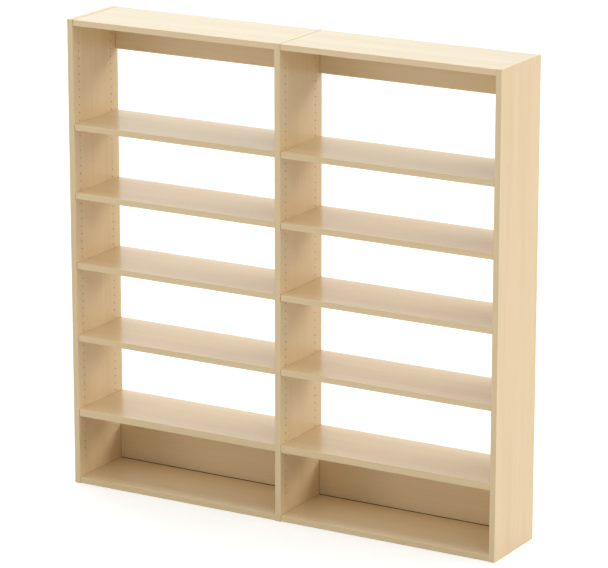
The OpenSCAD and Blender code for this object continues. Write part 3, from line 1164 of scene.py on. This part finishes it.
# How far the drum reaches past the axis of the bolt
CAM_OVER = 4.5
CAM_CHAMFER = (0.4, 2)
CAM_RIM = 0.9
CAM_DISH = 0.35
CAM_CROSS = (7.0, 1.2, 2.5)
THICK_AXIS = 12.5
POCKET = ((-9.0, 3.75), (2.2, 3.75), (3.3, 3.0), (3.75, 1.8))
POCKET_SIDES = 32


def make_cam(name, axis):
    """A cam about Z with its open face at -axis and its pocket towards -X."""
    let_go()
    bpy.ops.mesh.primitive_cylinder_add(
        vertices=CAM_SIDES, radius=CAM_RADIUS * MM, depth=(axis + CAM_OVER) * MM,
        location=(0.0, 0.0, (CAM_OVER - axis) / 2 * MM))
    cam = bpy.context.object
    settle(cam, name)
    start_editing(cam)
    choose(cam, "EDGE", lambda edge: near(edge.verts[0].co.z, edge.verts[1].co.z))
    bpy.ops.mesh.bevel(offset=CAM_CHAMFER[0] * MM, segments=CAM_CHAMFER[1])
    choose(cam, "FACE", lambda face: face.normal.z < -STRAIGHT)
    bpy.ops.mesh.inset(thickness=CAM_RIM * MM)
    bpy.ops.mesh.inset(thickness=CAM_DISH * MM, depth=-CAM_DISH * MM)
    stop_editing()
    cut(cam, turned("pocket", POCKET, POCKET_SIDES))
    cut(cam, neck_slot("neck_slot"))
    for bar in cross_bars(name + "_cross", CAM_CROSS, (0.0, 0.0, -axis), False):
        cut(cam, bar)
    fuse(cam, arrow("arrow", CAM_DISH - axis))
    smooth(cam)
    print(name, "faces:", len(cam.data.polygons))
    return cam


large_cam = make_cam("large_cam", THICK_AXIS)
small_cam = make_cam("small_cam", THIN_AXIS)

# %% Cams in place
# From the face of the upright to the axis of the drum
CAM_REACH = 34.0

for side in SIDES:
    large_places = []
    small_places = []
    for face, turn in bay_ends(side):
        middle = face + CAM_REACH * math.cos(turn)
        for board in FIXED:
            wanted = small_places if board == "base_shelf" else large_places
            wanted += [at(middle, y, level_of(f"{side}_{board}"), turn) for y in row_y]
        lay_back = Matrix.Rotation(turn, 4, "Y") @ Matrix.Rotation(QUARTER_TURN, 4, "X")
        for board in STANDING:
            levels = standing_levels(f"{side}_{board}")
            small_places += [at(middle, back_y, z) @ lay_back for z in levels]
    put(large_cam, f"{side}_thick_cams", large_places, zinc, f"{side}_large_cams")
    put(small_cam, f"{side}_thin_cams", small_places, zinc, f"{side}_small_cams")
for cam in (large_cam, small_cam):
    bpy.data.objects.remove(cam)

# %% [markdown]
# Dowels line the boards up while the cams pull them tight. A dowel is turned from
# beech, chamfered at its ends, and pressed with flutes that let glue and air out. The
# flutes could be cut out one by one, but every third long edge drawn in towards the
# middle gives them all at once.

# %% Dowel
DOWEL = ((-10.0, 2.95), (-9.0, 3.9), (24.0, 3.9), (25.0, 2.95))
DOWEL_SIDES = 48
# An edge at least this long runs along the dowel
LONG_EDGE = 20.0
FLUTE_EVERY = 3
FLUTE_ANGLE = math.tau * FLUTE_EVERY / DOWEL_SIDES
FLUTE_PLAY = 0.1
FLUTE_DRAW = (1.0, 0.93, 0.93)
DOWEL_ANGLE = math.radians(20)


def on_flute(edge):
    """True for every third long edge around the dowel."""
    first, second = (corner.co for corner in edge.verts)
    if abs(first.x - second.x) < LONG_EDGE * MM:
        return False
    turns = math.atan2(first.z, first.y) / FLUTE_ANGLE
    return abs(turns - round(turns)) < FLUTE_PLAY


dowel = turned("dowel", DOWEL, DOWEL_SIDES)
start_editing(dowel)
flutes = choose(dowel, "EDGE", on_flute)
bpy.ops.transform.resize(value=FLUTE_DRAW, center_override=(0.0, 0.0, 0.0))
stop_editing()
smooth(dowel, DOWEL_ANGLE)
print("flutes on a dowel:", flutes)

# %% Dowels in place
# In a lying board, from a bolt to the dowel beside it
DOWEL_STEP = 32.0

dowel_y = (row_y[0] + DOWEL_STEP, row_y[1] - DOWEL_STEP)
for side in SIDES:
    spots = [(y, level_of(f"{side}_{board}")) for board in FIXED for y in dowel_y]
    for board in STANDING:
        spots.append((back_y, sum(standing_levels(f"{side}_{board}")) / 2))
    places = [at(face, y, z, turn) for face, turn in bay_ends(side) for y, z in spots]
    put(dowel, f"{side}_fluted_dowels", places, beech, f"{side}_dowels")
bpy.data.objects.remove(dowel)
